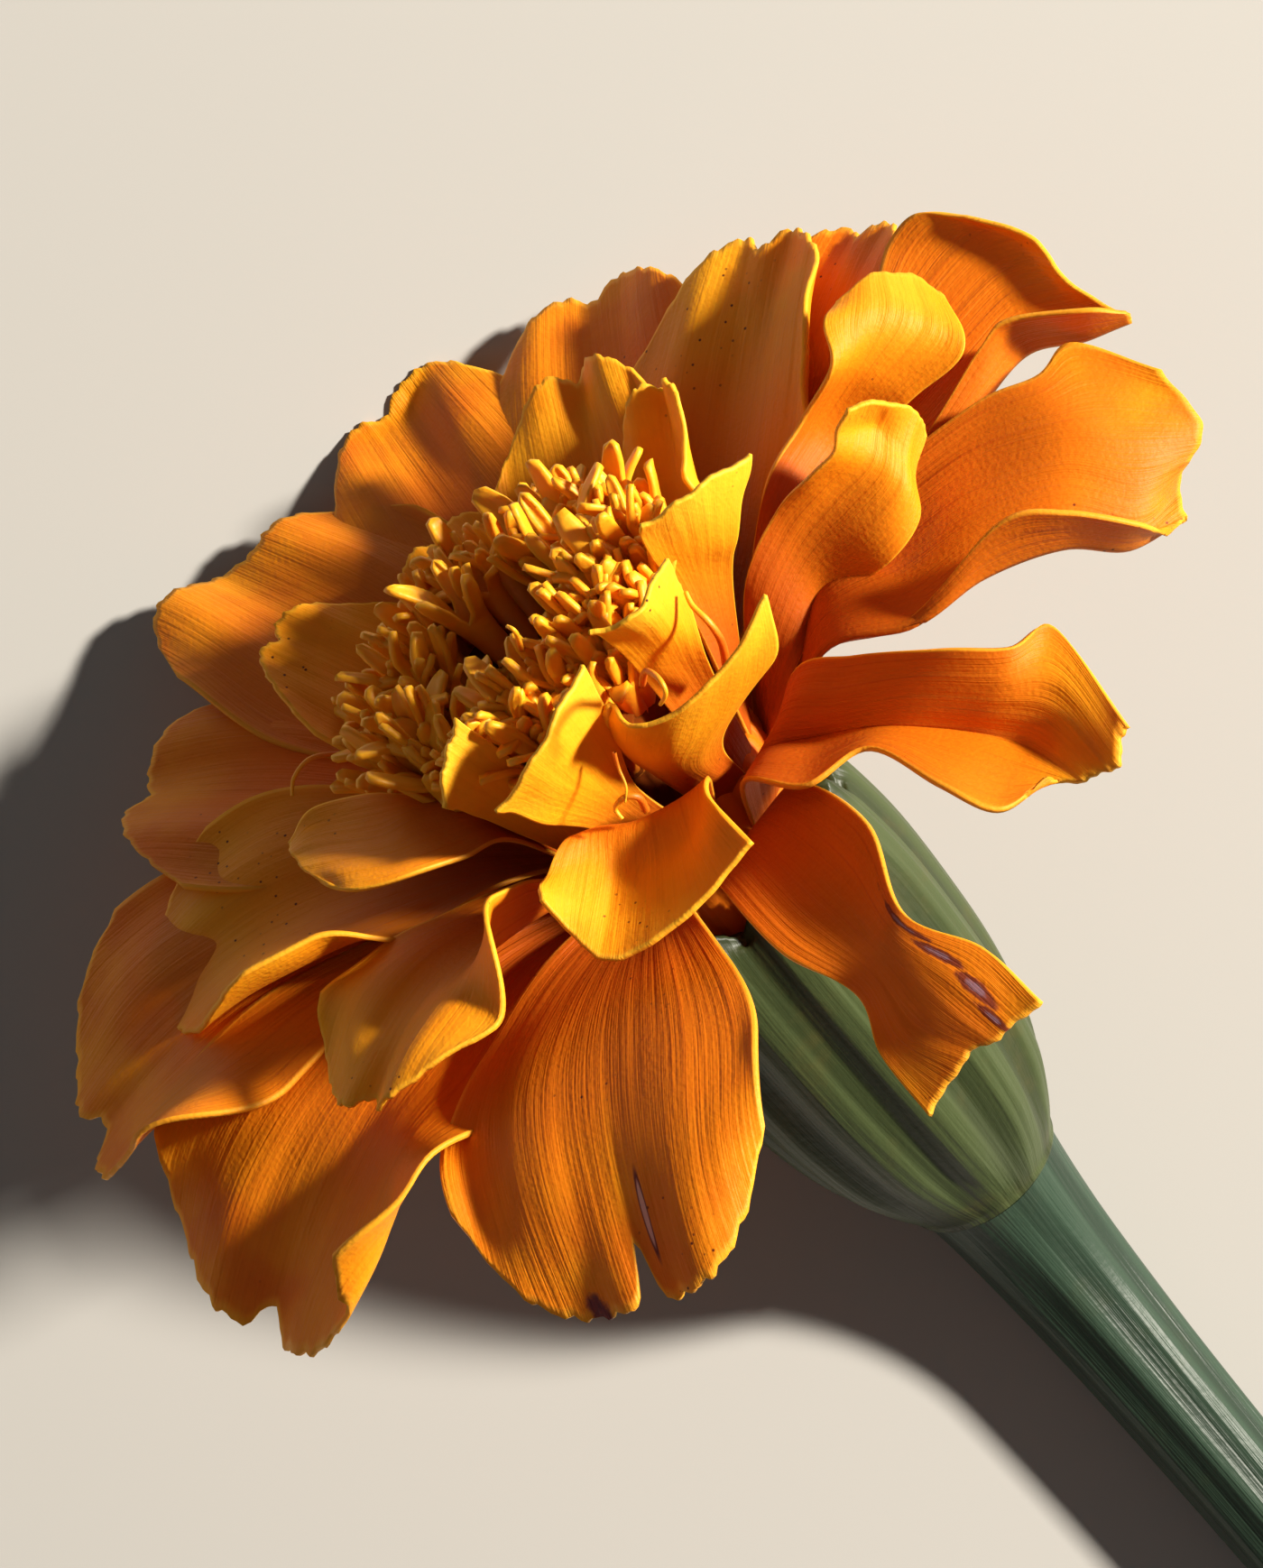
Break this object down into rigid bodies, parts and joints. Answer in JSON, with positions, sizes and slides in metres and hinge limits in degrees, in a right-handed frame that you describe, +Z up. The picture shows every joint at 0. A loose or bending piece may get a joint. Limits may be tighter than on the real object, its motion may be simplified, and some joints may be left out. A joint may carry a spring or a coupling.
{
  "type": "marigold flower",
  "caption": "Cut crested marigold lying on a table: a ruffled double orange flower head with a ring of golden disc florets, in a ribbed green calyx on a short swollen stalk.",
  "frame": {"origin": "middle of the part's footprint, on the table that it lies on", "axes": "+X from the cut end of the stalk to the flower head, level; +Z up; the flower's axis rises 30 degrees from +X"},
  "size_m": [0.0818, 0.0486, 0.0338],
  "materials": {
    "ray_floret": "matt, thin, deep orange with fine lengthwise streaks and a golden edge",
    "disc_floret": "matt golden orange",
    "calyx": "smooth ribbed grey-green with olive furrows",
    "stalk": "smooth dusky green with fine lengthwise ridges"
  },
  "bodies": {
    "root": {"ray_florets": "ray_floret", "disc_florets": "disc_floret", "calyx": "calyx", "stem": "stalk"}
  },
  "joints": []
}
